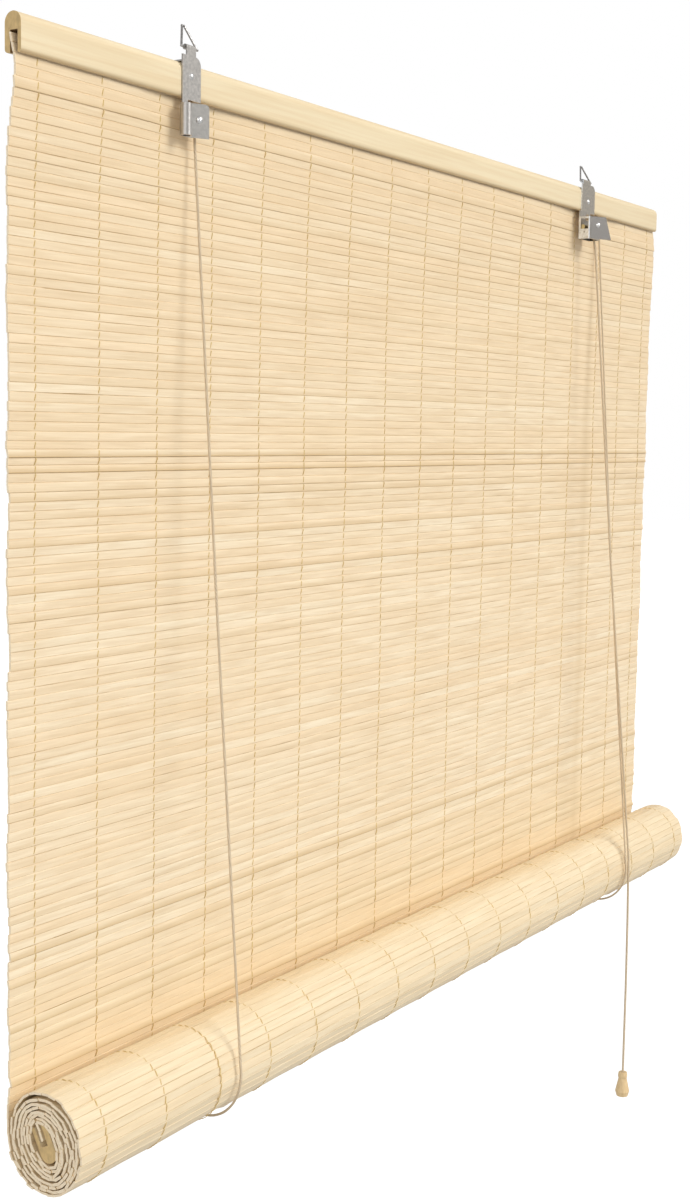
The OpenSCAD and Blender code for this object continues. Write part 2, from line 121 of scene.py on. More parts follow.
def mix_colours(material, factor, first, second):
    """A colour between first and second, each a colour or a socket."""
    node = add_node(material, "ShaderNodeMix", data_type="RGBA")
    join(material, factor, node.inputs["Factor"])
    for socket, value in ((node.inputs[6], first), (node.inputs[7], second)):
        if isinstance(value, tuple):
            socket.default_value = (*value, 1)
        else:
            join(material, value, socket)
    return node.outputs[2]


def stretched_noise(material, stretch, scale, detail=3.0):
    """Noise on Object coordinates, stretched by the given factors along X, Y and Z."""
    place = add_node(material, "ShaderNodeTexCoord")
    mapping = add_node(material, "ShaderNodeMapping")
    mapping.inputs["Scale"].default_value = stretch
    noise = add_node(material, "ShaderNodeTexNoise")
    noise.inputs["Scale"].default_value = scale
    noise.inputs["Detail"].default_value = detail
    join(material, place.outputs["Object"], mapping.inputs["Vector"])
    join(material, mapping.outputs["Vector"], noise.inputs["Vector"])
    return noise.outputs["Fac"]


def ramp(material, source, low, high):
    """Maps the range from low to high of a value onto 0 to 1."""
    node = add_node(material, "ShaderNodeMapRange")
    node.inputs["From Min"].default_value = low
    node.inputs["From Max"].default_value = high
    join(material, source, node.inputs["Value"])
    return node.outputs["Result"]


def attribute(material, name):
    return add_node(material, "ShaderNodeAttribute", attribute_name=name).outputs["Fac"]


def bump(material, shader, height, distance, strength):
    node = add_node(material, "ShaderNodeBump")
    node.inputs["Strength"].default_value = strength
    node.inputs["Distance"].default_value = distance
    join(material, height, node.inputs["Height"])
    join(material, node.outputs["Normal"], shader.inputs["Normal"])


# %% [markdown]
# ## Finishes
# Bamboo is pale cream with fine grain along the slat. The lines between the slats, the painted shadow
# and painted shade at the ridges and the painted shade inside the roll come from attributes of the slats'
# meshes, so that they lie where the joints are. More painted shade darkens the mat towards its top and
# its foot and in two bands where the lift cords hang. The rails are a plain pale wood with darker end
# grain, and get painted shade in the slot, along the lower lip and towards the right end.

# %% Bamboo and wood


def scaled(material, source, factor):
    node = add_node(material, "ShaderNodeMath", operation="MULTIPLY")
    join(material, source, node.inputs[0])
    node.inputs[1].default_value = factor
    return node.outputs[0]


def product(material, first, second):
    node = add_node(material, "ShaderNodeMath", operation="MULTIPLY")
    join(material, first, node.inputs[0])
    join(material, second, node.inputs[1])
    return node.outputs[0]


def parts_of(material, kind, output):
    """The X, Y and Z of a place or a direction."""
    source = add_node(material, kind)
    parts = add_node(material, "ShaderNodeSeparateXYZ")
    join(material, source.outputs[output], parts.inputs[0])
    return parts.outputs


def near(material, value, centre, reach):
    """1 where the value is the centre, falling to 0 at the given reach on both sides."""
    away = add_node(material, "ShaderNodeMath", operation="SUBTRACT")
    join(material, value, away.inputs[0])
    away.inputs[1].default_value = centre
    size = add_node(material, "ShaderNodeMath", operation="ABSOLUTE")
    join(material, away.outputs[0], size.inputs[0])
    return ramp(material, size.outputs[0], reach, 0)


def bamboo_face():
    material, shader = new_material("bamboo_face", 0.5)
    grain = ramp(material, stretched_noise(material, (7, 300, 300), 4.0, 5.0), 0.38, 0.68)
    blotch = ramp(material, stretched_noise(material, (5, 40, 40), 1.6), 0.4, 0.75)
    colour = mix_colours(material, attribute(material, "slat_tone"), (1.0, 0.86, 0.63), (0.99, 0.78, 0.52))
    colour = mix_colours(material, scaled(material, blotch, 0.5), colour, (0.92, 0.71, 0.45))
    colour = mix_colours(material, scaled(material, grain, 0.3), colour, (0.78, 0.57, 0.32))
    streak = ramp(material, stretched_noise(material, (22, 330, 330), 1.0, 3.0), 0.42, 0.66)
    colour = mix_colours(material, scaled(material, streak, 0.46), colour, (0.80, 0.60, 0.37))
    broken = ramp(material, stretched_noise(material, (22, 170, 170), 1.5, 4.0), 0.33, 0.6)
    # Painted shade towards the lower edge of each slat, strongest above a ridge.
    colour = mix_colours(material, attribute(material, "slat_shade"), colour, (0.60, 0.40, 0.17))
    # Dark joint lines and dashes; the same attribute carries the painted shadow line under ridges and the
    # painted shade inside the roll.
    line = product(material, attribute(material, "slat_edge"), broken)
    colour = mix_colours(material, line, colour, (0.47, 0.29, 0.11))
    place = parts_of(material, "ShaderNodeTexCoord", "Object")
    height = place["Z"]
    # Painted shade in two vertical bands where the lift cords hang; the left band is faint and fades out
    # towards the bottom.
    left_cord_shade_mask = product(material, near(material, place["X"], -0.330, 0.010), ramp(material, height, -0.5, -0.3))
    for painted_cord_shade, strength in ((left_cord_shade_mask, 0.1), (near(material, place["X"], 0.341, 0.012), 0.3)):
        colour = mix_colours(material, scaled(material, painted_cord_shade, strength), colour, (0.66, 0.48, 0.25))
    # Painted shade towards the foot of the mat, which also covers the whole roll.
    shade = scaled(material, ramp(material, height, -0.54, -0.65), 0.3)
    colour = mix_colours(material, shade, colour, (0.82, 0.68, 0.42))
    # Painted shade towards the top of the mat.
    painted_top_shade = scaled(material, ramp(material, height, -0.3, 0), 0.35)
    colour = mix_colours(material, painted_top_shade, colour, (0.86, 0.65, 0.38))
    join(material, colour, shader.inputs["Base Color"])
    bump(material, shader, grain, 0.0003, 0.25)
    return material


def bamboo_end():
    material, shader = new_material("bamboo_end", 0.75)
    pores = ramp(material, stretched_noise(material, (1, 1, 1), 1400.0, 2.0), 0.35, 0.65)
    colour = mix_colours(material, pores, (1.0, 0.86, 0.64), (0.90, 0.73, 0.51))
    join(material, colour, shader.inputs["Base Color"])
    bump(material, shader, pores, 0.0003, 0.4)
    return material


def within(material, value, low, high):
    """1 where the value lies between low and high, else 0."""
    above = add_node(material, "ShaderNodeMath", operation="GREATER_THAN")
    below = add_node(material, "ShaderNodeMath", operation="LESS_THAN")
    for node, limit in ((above, low), (below, high)):
        join(material, value, node.inputs[0])
        node.inputs[1].default_value = limit
    return product(material, above.outputs[0], below.outputs[0])


SLOT_Y = (-0.0103, -0.0043)
SLOT_Z = (-0.0125, 0.0012)
LIP_Z = (-0.0125, -0.0080)


def rail_wood():
    material, shader = new_material("rail_wood_finish", 0.5)
    grain = ramp(material, stretched_noise(material, (3, 120, 120), 3.0, 5.0), 0.38, 0.68)
    colour = mix_colours(material, grain, (0.91, 0.76, 0.50), (0.85, 0.67, 0.41))
    place = parts_of(material, "ShaderNodeTexCoord", "Object")
    # Painted shade towards the right end of the rails.
    painted_right_end_shade = scaled(material, ramp(material, place["X"], 0.1, 0.5), 0.3)
    colour = mix_colours(material, painted_right_end_shade, colour, (0.76, 0.62, 0.40))
    # Painted shade along the lower edge of the headrail's front lip.
    painted_lip_shade = product(material, within(material, place["Z"], *LIP_Z), ramp(material, place["Z"], *LIP_Z[::-1]))
    colour = mix_colours(material, scaled(material, painted_lip_shade, 0.6), colour, (0.50, 0.34, 0.15))
    facing = parts_of(material, "ShaderNodeNewGeometry", "Normal")
    cut = within(material, product(material, facing["X"], facing["X"]), 0.7, 1.1)
    rings = ramp(material, stretched_noise(material, (1, 1, 0.5), 420.0, 3.0), 0.3, 0.7)
    end_grain = mix_colours(material, rings, (0.74, 0.52, 0.23), (0.54, 0.38, 0.17))
    colour = mix_colours(material, cut, colour, end_grain)
    # Painted shade inside the headrail's slot.
    painted_recess_shade = product(material, within(material, place["Y"], *SLOT_Y), within(material, place["Z"], *SLOT_Z))
    colour = mix_colours(material, painted_recess_shade, colour, (0.26, 0.16, 0.07))
    join(material, colour, shader.inputs["Base Color"])
    bump(material, shader, grain, 0.0003, 0.2)
    return material


def knob_wood():
    material, shader = new_material("knob_wood_finish", 0.45)
    grain = ramp(material, stretched_noise(material, (220, 220, 30), 3.0, 4.0), 0.35, 0.7)
    colour = mix_colours(material, grain, (0.83, 0.62, 0.34), (0.73, 0.52, 0.27))
    join(material, colour, shader.inputs["Base Color"])
    bump(material, shader, grain, 0.0003, 0.2)
    return material


# %% [markdown]
# ## Metal and cord
# The brackets are zinc-plated sheet with a faint spangle. Their colour is a painted reflection that
# follows the direction of each face, and the inside of the cord lock and a dimple on its wall get painted
# shade. Cords and threads are spun, which shows as fine strands, with painted shade in the grooves of
# the cords.

# %% Metal and cord
LOCK_X = (0.2945, 0.3178)
LOCK_Y = (-0.0244, -0.0145)
LOCK_Z = (-0.0396, -0.0186)
WALL_X = (0.2935, 0.2945)
DIMPLE_Y = (-0.0191, 0.0012)
DIMPLE_Z = (-0.0332, 0.0012)


def zinc_sheet(name, front, turned, left):
    """Zinc with a painted reflection that differs between the faces that look to the front, half left and
    left.
    """
    material, shader = new_material(name, 0.38, 1.0)
    facing = parts_of(material, "ShaderNodeNewGeometry", "Normal")
    # Painted reflection: the colour follows the direction of the face.
    colour = mix_colours(material, ramp(material, facing["X"], -0.15, -0.45), front, turned)
    colour = mix_colours(material, ramp(material, facing["X"], -0.65, -0.95), colour, left)
    spangle = ramp(material, stretched_noise(material, (1, 1, 1), 420.0, 2.0), 0.35, 0.65)
    colour = mix_colours(material, scaled(material, spangle, 0.35), colour, (0.30, 0.29, 0.27))
    place = parts_of(material, "ShaderNodeTexCoord", "Object")
    # Painted shade inside the cord lock.
    painted_recess_shade = within(material, place["X"], *LOCK_X)
    painted_recess_shade = product(material, painted_recess_shade, within(material, place["Y"], *LOCK_Y))
    painted_recess_shade = product(material, painted_recess_shade, within(material, place["Z"], *LOCK_Z))
    colour = mix_colours(material, painted_recess_shade, colour, (0.10, 0.08, 0.06))
    # Painted shade of a dimple in the lock's left wall.
    painted_dimple_shade = product(material, near(material, place["Y"], *DIMPLE_Y), near(material, place["Z"], *DIMPLE_Z))
    painted_dimple_shade = product(material, painted_dimple_shade, within(material, place["X"], *WALL_X))
    colour = mix_colours(material, painted_dimple_shade, colour, (0.12, 0.10, 0.08))
    join(material, colour, shader.inputs["Base Color"])
    bump(material, shader, spangle, 0.0002, 0.15)
    return material


def plated_wire(name, bright, worn):
    material, shader = new_material(name, 0.25, 1.0)
    wear = ramp(material, stretched_noise(material, (1, 1, 1), 700.0, 2.0), 0.4, 0.7)
    colour = mix_colours(material, wear, bright, worn)
    join(material, colour, shader.inputs["Base Color"])
    return material


def turned_brass():
    material, shader = new_material("turned_brass", 0.3, 1.0)
    rings = ramp(material, stretched_noise(material, (2500, 1, 1), 1.0, 2.0), 0.35, 0.65)
    colour = mix_colours(material, rings, (0.66, 0.58, 0.34), (0.50, 0.44, 0.26))
    join(material, colour, shader.inputs["Base Color"])
    return material


def braided_cord():
    material, shader = new_material("braided_cord", 0.85)
    strands = attribute(material, "cord_strand")
    fluff = ramp(material, stretched_noise(material, (1, 1, 1), 1800.0, 2.0), 0.3, 0.7)
    # Painted shade in the grooves between the strands; the same attribute drives the bump.
    colour = mix_colours(material, strands, (0.50, 0.38, 0.25), (0.76, 0.61, 0.43))
    colour = mix_colours(material, scaled(material, fluff, 0.5), colour, (0.68, 0.56, 0.39))
    join(material, colour, shader.inputs["Base Color"])
    bump(material, shader, strands, 0.0004, 0.6)
    return material


def warp_thread():
    material, shader = new_material("warp_thread", 0.8)
    twist = ramp(material, stretched_noise(material, (1, 1, 0.4), 2200.0, 2.0), 0.35, 0.65)
    colour = mix_colours(material, twist, (0.80, 0.60, 0.28), (0.66, 0.48, 0.20))
    join(material, colour, shader.inputs["Base Color"])
    return material


BAMBOO_FACE = bamboo_face()
BAMBOO_END = bamboo_end()
RAIL_WOOD = rail_wood()
KNOB_WOOD = knob_wood()
# Each zinc gets three painted reflections, for faces to the front, half left and left.
GUIDE_ZINC = zinc_sheet("guide_zinc", (0.76, 0.72, 0.67), (0.46, 0.44, 0.41), (0.48, 0.46, 0.44))
LOCK_ZINC = zinc_sheet("lock_zinc", (0.65, 0.59, 0.50), (0.31, 0.29, 0.27), (0.85, 0.90, 0.97))
BRIGHT_WIRE = plated_wire("bright_wire", (0.90, 0.89, 0.87), (0.70, 0.69, 0.67))
RING_WIRE = plated_wire("ring_wire_finish", (0.48, 0.46, 0.44), (0.32, 0.31, 0.30))
TURNED_BRASS = turned_brass()
BRAIDED_CORD = braided_cord()
WARP_THREAD = warp_thread()
print("finishes", len(bpy.data.materials))

# %% [markdown]
# ## Cords
# Two lift cords start at a staple on the back of the headrail, hang down behind the mat, pass under
# the roll and come up its front to the brackets. Their ends leave the cord lock together as the pull
# cord. A cord could be a curve, but it has to stretch with the roll, so each is drawn as a smooth
# line through a few points, given a round bevel and made a mesh.

# %% Cord routes in millimetres
LEFT_LIFT_ROUTE = [
    (-330, -2.3, -16.6), (-330, -2.3, -340), (-333, -2.4, -660), (-336, -2.4, -674),
    (-336, -4.4, -686), (-336, -10, -696.5), (-336, -19, -704.5), (-336, -30, -709),
    (-336.5, -42, -709), (-337, -53.5, -704), (-337, -62, -695.5), (-337, -67, -685),
    (-337, -68.6, -674), (-337, -67.8, -664), (-330, -38, -340), (-324, -12.5, -44),
    (-324, -11.4, -28), (-324, -9.6, -18), (-323.5, -9, -12.5), (-322, -9, -9),
    (-319, -9, -6.8), (-315, -9, -6), (290, -9, -6), (308, -9, -6)]
RIGHT_LIFT_ROUTE = [
    (330, -2.3, -16.6), (330, -2.3, -340), (333, -2.4, -660), (335, -2.4, -674),
    (335, -4.4, -686), (335, -10, -696.5), (335, -19, -704.5), (335, -30, -709),
    (335, -42, -709), (335, -53.5, -704), (335, -62, -695.5), (335, -67, -685),
    (335, -68.6, -674), (335, -67.8, -664), (338, -38, -340), (346, -12.5, -44),
    (346, -11.4, -28), (346, -9.6, -18), (345.5, -9, -12.5), (344, -9, -9),
    (341, -9, -6.8), (337, -9, -6), (326, -9, -6), (316, -9, -6)]
PULL_ROUTE = [
    (312, -9, -7), (312, -8.95, -13.4), (312, -9.4, -15.8), (312, -12.2, -18.2),
    (312, -15.6, -19.2), (312, -18.8, -20.2), (312, -21.2, -22.6), (312, -21.7, -26),
    (312, -21.7, -41), (313, -22.8, -49), (322, -45.5, -350), (340, -68.9, -662), (340, -69.2, -674)]
TAIL_ROUTE = [(340, -69.2, -674.2), (341.5, -69.6, -730), (342, -70, -800), (342, -70, -889.8)]
LIFT_CORD_D = 1.8 * MM
PULL_CORD_D = 2.2 * MM
CORD_STEP = 3 * MM
STRAND_PITCH = 3.2 * MM
STRANDS = 3

# %% Cord helpers


def smooth_path(route, step):
    """Points every step along a curve that runs through the route without overshooting."""
    points = np.array(route, float) * MM
    gaps = np.linalg.norm(np.diff(points, axis=0), axis=1)
    ends = np.vstack([2 * points[0] - points[1], points, 2 * points[-1] - points[-2]])
    spans = np.concatenate([[gaps[0]], gaps, [gaps[-1]]])
    path = []
    for i in range(len(points) - 1):
        before, here, after = spans[i], spans[i + 1], spans[i + 2]
        p, q = ends[i + 1], ends[i + 2]
        leave = ((p - ends[i]) / before + (q - p) / here) / 2
        arrive = ((q - p) / here + (ends[i + 3] - q) / after) / 2
        hold = min(before, here, after, 12 * MM)
        count = max(2, round(here / step))
        straight_from, straight_to = p + leave * hold / 3, q - arrive * hold / 3
        for s in np.arange(count) / count:
            path.append((1 - s) ** 3 * p + 3 * (1 - s) ** 2 * s * straight_from
                        + 3 * (1 - s) * s ** 2 * straight_to + s ** 3 * q)
    path.append(points[-1])
    return np.array(path)


def tube(name, paths, diameter, sides_setting):
    """A mesh of round tubes along the paths, with closed ends."""
    curve = bpy.data.curves.new(name, "CURVE")
    curve.dimensions = "3D"
    curve.bevel_depth = diameter / 2
    curve.bevel_resolution = sides_setting
    curve.use_fill_caps = True
    for path in paths:
        spline = curve.splines.new("POLY")
        spline.points.add(len(path) - 1)
        spline.points.foreach_set("co", np.column_stack([path, np.ones(len(path))]).ravel())
    piece = bpy.data.objects.new(name, curve)
    bpy.context.scene.collection.objects.link(piece)
    bpy.ops.object.select_all(action="DESELECT")
    piece.select_set(True)
    bpy.context.view_layer.objects.active = piece
    bpy.ops.object.convert(target="MESH")
    bpy.ops.object.shade_smooth()
    return bpy.context.view_layer.objects.active


def point_attribute(piece, name, values):
    layer = piece.data.attributes.new(name, "FLOAT", "POINT")
    layer.data.foreach_set("value", np.asarray(values, np.float32))


def strand_values(piece, path):
    """How high each vertex lies on the twisted strands of a cord, from 0 in a groove to 1."""
    runs = np.concatenate([[0], np.cumsum(np.linalg.norm(np.diff(path, axis=0), axis=1))])
    tree = KDTree(len(path))
    for i, point in enumerate(path):
        tree.insert(point, i)
    tree.balance()
    values = []
    for vertex in piece.data.vertices:
        point, i, _ = tree.find(vertex.co)
        offset = vertex.co - point
        angle = math.atan2(offset.y, offset.x)
        phase = 2 * math.pi * runs[i] / STRAND_PITCH + STRANDS * angle
        values.append((1 + math.sin(phase)) / 2)
    return values


def make_cord(name, route, diameter, node, **facts):
    path = smooth_path(route, CORD_STEP)
    piece = tube(name, [path], diameter, 2)
    point_attribute(piece, "cord_strand", strand_values(piece, path))
    piece.data.materials.append(BRAIDED_CORD)
    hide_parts(node)
    return piece


# %% The four cords
left_lift = make_cord("left_lift_line", LEFT_LIFT_ROUTE, LIFT_CORD_D, "left_lift_cord",
                      far_end="object", lay="taut")
right_lift = make_cord("right_lift_line", RIGHT_LIFT_ROUTE, LIFT_CORD_D, "right_lift_cord",
                       far_end="object", lay="taut")
pull_line = make_cord("pull_line", PULL_ROUTE, PULL_CORD_D, "pull_cord",
                      far_end="object", lay="hanging")
pull_tail = make_cord("pull_tail", TAIL_ROUTE, PULL_CORD_D, "pull_cord_tail",
                      far_end="fitting", lay="hanging", with_pieces=["pull_knob", "cord_knot"])
for line in (left_lift, right_lift, pull_line):
    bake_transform(line)
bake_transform(pull_tail)

# %% [markdown]
# ## The mat's line
# The mat is a row of slats. Where two slats meet is a joint, and the joints lie on a line that starts
# in the headrail's slot, hangs down and winds into the roll. The line is worked out by the same rules
# as the solids, so that the slats lie where the solids are, with one more turn close round the rail.
# Slats slip on their threads, so the joints are not quite even, and the outer turn is loose at its top.

# %% Sizes of the mat in millimetres
MAT_W = 1000
SLAT_PITCH = 5.75
SLAT_T = 1.5
SEATED_SLATS = 2
MAT_COUNT = 117
MAT_TOP = -0.5
MAT_Y = -6.6
MAT_LEAN = 1.6
SEAT_TILT = 1.2
WARP_PITCH = 59.4
WARP_EDGE = 24.8
ROLL_RY, ROLL_RZ = 31, 33
ROLL_Y, ROLL_Z = -36, -673.25
ROLL_TURNS = 6
CORE_A, CORE_B = 16.5, 10.5
CORE_NOSE = 117
CORE_MOUTH = CORE_NOSE + 180
ROLL_END = 360 * ROLL_TURNS + CORE_MOUTH - 22
CORE_END_R = 14.25
CORE_STRAIGHT, CORE_ROUND = 5.5, 8.3
LOOSE_ANGLES = [190, 245, 310, 350]
LOOSE_BY = [0, 1.7, 1.7, 0]
SLIP_JOINTS = [2, 5, 26, 36, 41, 43, 45, 48, 53, 61, 73, 82, 86, 112, 117]
SLIP_SHARES = [0, 0.55, 0.52, 0.6, 0.75, 0.5, 0.15, 0.25, 0.1, 0.1, 0.4, 0.62, 0.87, 0.93, 0.2]
warp_x = np.arange(-MAT_W / 2 + WARP_EDGE, MAT_W / 2, WARP_PITCH)
print("pairs of threads", len(warp_x))

# %% Joints of the hanging and the rolled slats


def hanging_joints():
    k = np.arange(MAT_COUNT + 1)
    y = MAT_Y + MAT_LEAN * k / MAT_COUNT
    y[0] += SEAT_TILT
    z = MAT_TOP - (k + np.interp(k, SLIP_JOINTS, SLIP_SHARES)) * SLAT_PITCH
    return np.column_stack([y, z])


def oval_r(degrees, a, b):
    angle = math.radians(degrees)
    return a * b / math.hypot(b * math.cos(angle), a * math.sin(angle))


def core_r(degrees):
    """Radius of a line close round the bottom rail, two straights and two half circles."""
    along = abs(math.cos(math.radians(degrees - CORE_NOSE)))
    across = abs(math.sin(math.radians(degrees - CORE_NOSE)))
    if CORE_ROUND * along <= CORE_STRAIGHT * across:
        return CORE_ROUND / across
    return CORE_STRAIGHT * along + math.sqrt(CORE_ROUND ** 2 - (CORE_STRAIGHT * across) ** 2)


def turn_r(degrees):
    inner = oval_r(degrees - CORE_NOSE, CORE_A, CORE_B)
    if degrees > ROLL_END:
        inward = (degrees - ROLL_END) / 360
        return (1 - inward) * inner + inward * core_r(degrees)
    inward = degrees / ROLL_END
    loose = np.interp(degrees, LOOSE_ANGLES, LOOSE_BY)
    return (1 - inward) * oval_r(degrees, ROLL_RY, ROLL_RZ) + inward * inner + loose


def roll_point(degrees, r):
    angle = math.radians(degrees)
    return ROLL_Y + r * math.cos(angle), ROLL_Z - r * math.sin(angle)


def rolled_joints():
    angles = [0.0]
    last = ROLL_END + 360
    while angles[-1] < last - math.degrees(SLAT_PITCH / CORE_A) * 1.5:
        angles.append(angles[-1] + math.degrees(SLAT_PITCH / turn_r(angles[-1])))
    angles.append(last)
    points = [roll_point(a, turn_r(a)) for a in angles]
    tail = [roll_point(CORE_MOUTH, CORE_END_R - n * SLAT_PITCH) for n in range(SEATED_SLATS + 1)]
    return np.array(points + tail)


mat_line = hanging_joints()
roll_line = rolled_joints()
print("slats", len(mat_line) - 1, "hanging,", len(roll_line) - 1, "rolled")

# %% [markdown]
# ## One slat
# A slat is a thin strip split from a bamboo cane, with its long edges rubbed round. It is a box whose
# long edges are bevelled once, which gives eight sides. It is cut across at even steps, and closer
# together where the lift cords press on the roll, so that it can bow. Every other slat is a copy.

# %% Model a slat
SLAT_OVERLAP = 0.2
SLAT_BEVEL = 0.45
SLAT_CUTS = 33
CORD_X = 341.5
CORD_CUTS = 3


def model_slat():
    size = (MAT_W * MM, SLAT_T * MM, (SLAT_PITCH + SLAT_OVERLAP) * MM)
    bpy.ops.object.select_all(action="DESELECT")
    bpy.ops.mesh.primitive_cube_add(size=1, scale=size)
    slat = bpy.context.object
    bpy.ops.object.transform_apply(location=True, rotation=True, scale=True)
    bpy.ops.object.mode_set(mode="EDIT")
    bpy.ops.mesh.select_mode(type="EDGE")
    bpy.ops.mesh.select_all(action="DESELECT")
    bpy.ops.object.mode_set(mode="OBJECT")
    select_long_edges(slat, 0, MAT_W)
    bpy.ops.object.mode_set(mode="EDIT")
    bpy.ops.mesh.bevel(offset=SLAT_BEVEL * MM, segments=1, affect="EDGES")
    for middle_x, reach, cuts in ((0, MAT_W, SLAT_CUTS), (CORD_X, 15, CORD_CUTS)):
        bpy.ops.mesh.select_all(action="DESELECT")
        bpy.ops.object.mode_set(mode="OBJECT")
        select_long_edges(slat, middle_x, reach)
        bpy.ops.object.mode_set(mode="EDIT")
        bpy.ops.mesh.subdivide(number_cuts=cuts)
    bpy.ops.object.mode_set(mode="OBJECT")
    bpy.ops.object.shade_smooth_by_angle(angle=math.radians(30))
    slat.data.materials.append(BAMBOO_FACE)
    slat.data.materials.append(BAMBOO_END)
    for face in slat.data.polygons:
        face.material_index = 1 if abs(face.normal.x) > 0.9 else 0
    return slat


def select_long_edges(piece, middle_x, reach):
    """Selects the edges along X whose middles lie within reach of middle_x, on either side of 0."""
    points = [v.co for v in piece.data.vertices]
    for edge in piece.data.edges:
        start, end = (points[i] for i in edge.vertices)
        away = abs(abs(start.x + end.x) / 2 / MM - middle_x)
        edge.select = abs(end.x - start.x) > 0.9 * (end - start).length and away < reach


slat = model_slat()
slat_points = np.array([v.co for v in slat.data.vertices]) / MM
print("one slat has", len(slat.data.polygons), "faces")

# %% [markdown]
# ## Laying the slats
# No two slats are alike: each has its own tone, its own ends and a small tilt. Every slat gets a
# little painted shade towards its lower edge. Where a joint stands out, a ridge crosses the whole mat:
# the joint gets a painted shadow line, the slat above it more painted shade towards its lower edge, and
# the slat below it starts a step further back. A few joints also have a short dark dash.

# %% Copy a slat along a line
SIDE_SHARE = 0.9
at_side = np.abs(slat_points[:, 2]) > SIDE_SHARE * slat_points[:, 2].max()


def lay_slats(name, line, place):
    """Copies the slat onto each stretch of the line; place gives a copy's points, tone, edge and painted
    shade.
    """
    copies = []
    for k in range(len(line) - 1):
        copy = slat.copy()
        copy.data = slat.data.copy()
        bpy.context.scene.collection.objects.link(copy)
        middle = (line[k] + line[k + 1]) / 2
        run = (line[k + 1] - line[k]) / np.linalg.norm(line[k + 1] - line[k])
        out = np.array([run[1], -run[0]])
        width = np.linalg.norm(line[k + 1] - line[k]) / SLAT_PITCH
        x, out_by, down_by, tone, edge, shade = place(k, *slat_points.T * [[1], [-1], [-1]])
        down_by = down_by * width
        flat = middle + np.outer(down_by, run) + np.outer(out_by, out)
        points = np.column_stack([x, flat]) * MM
        copy.data.vertices.foreach_set("co", points.ravel())
        point_attribute(copy, "slat_tone", np.full(len(points), tone))
        point_attribute(copy, "slat_edge", edge)
        point_attribute(copy, "slat_shade", shade)
        copies.append(copy)
    bpy.ops.object.select_all(action="DESELECT")
    for copy in copies:
        copy.select_set(True)
    bpy.context.view_layer.objects.active = copies[0]
    bpy.ops.object.join()
    piece = bpy.context.view_layer.objects.active
    piece.name = name
    piece.data.update()
    return piece


def bow(x):
    """0 at a thread and 1 half way between two threads."""
    return np.sin(np.pi * (x - warp_x[0]) / WARP_PITCH) ** 2


def tilted(out_by, down_by, degrees):
    angle = math.radians(degrees)
    return (out_by * math.cos(angle) + down_by * math.sin(angle),
            down_by * math.cos(angle) - out_by * math.sin(angle))


def trimmed(x, left, right):
    """Moves the two ends of a slat in by left and right."""
    share = x / MAT_W + 0.5
    return x + left * (1 - share) ** 8 - right * share ** 8


# %% Lay the hanging slats
RIDGES = {5: 0.75, 12: 0.37, 14: 0.33, 16: 0.27, 18: 0.23, 24: 0.34, 27: 0.2, 31: 0.1, 33: 0.26, 35: 0.24,
          39: 0.25, 41: 0.2, 43: 0.98, 45: 0.8, 47: 0.48, 48: 0.5, 50: 0.26, 53: 0.52, 58: 0.48, 61: 0.32,
          66: 0.2, 73: 0.22, 75: 0.17, 78: 0.21, 82: 0.15, 85: 0.26, 88: 0.15, 91: 0.24, 93: 0.32, 97: 0.88,
          100: 0.6, 105: 0.85, 107: 0.95, 111: 1.1}
RIDGE_OUT = 1.25
STEP_SHARE = 0.35
DASHES = {10: -116, 11: -444, 19: -430, 20: -112, 25: -438, 30: -112, 36: -446, 43: 105, 48: -222,
          49: 148, 59: 404, 70: 386, 79: 30, 96: -455, 104: -440}
DASH_L = 14
LEAN_JOINTS = [1, 2.5, 5, 14]
LEAN_OUT = [0, 2.2, 2.2, 0]
CLEAR_X = [-390, -345, -305, -260, 250, 295, 365, 410]
CLEAR_SHARE = [1, 0, 0, 1, 1, 0, 0, 1]
STAIN_SHARE = np.linspace(0.6, 1.3, MAT_COUNT + 1)
joint_line_and_shadow = dice.uniform(0.0, 1.1, MAT_COUNT + 1) * STAIN_SHARE
# Painted shade on the lower part of every slat, a little different from joint to joint.
joint_shade = 0.13 + 0.1 * np.sin(2.4 * np.arange(MAT_COUNT + 1))
joint_bay = dice.integers(0, len(warp_x) - 1, MAT_COUNT + 1)
joint_out = dice.normal(0, 0.07, MAT_COUNT + 1)
joint_out[:SEATED_SLATS + 1] = 0
# Each ridge stands out; its joint gets a painted shadow line and the slat above it more painted shade.
for ridge, strength in RIDGES.items():
    joint_out[ridge] += RIDGE_OUT * strength
    joint_line_and_shadow[ridge] += 0.5 * strength
    joint_shade[ridge] += 0.58 * strength


def joint_edge(joint, x):
    """How dark a joint is along its length: a faint line, darker for one bay and at a short dash, with a
    painted shadow line at a ridge.
    """
    bay = np.floor((x - warp_x[0]) / WARP_PITCH)
    edge = joint_line_and_shadow[joint] + np.where(bay == joint_bay[joint], 0.3, 0)
    return edge + 6 * np.exp(-((x - DASHES.get(joint, 2 * MAT_W)) / DASH_L) ** 2)


def sheet_out(joint, x, fold_share=1):
    """How far a joint of the hanging mat stands out: the lean out of the slot, folds and slow waves."""
    lean = np.interp(joint, LEAN_JOINTS, LEAN_OUT) * np.interp(x, CLEAR_X, CLEAR_SHARE)
    fold = lean + fold_share * joint_out[joint] * (0.85 + 0.15 * np.sin(x / 140 + joint))
    return fold + 0.25 * np.sin(x / 83 + joint * 0.2) + 0.12 * np.sin(x / 29 + joint * 0.5)


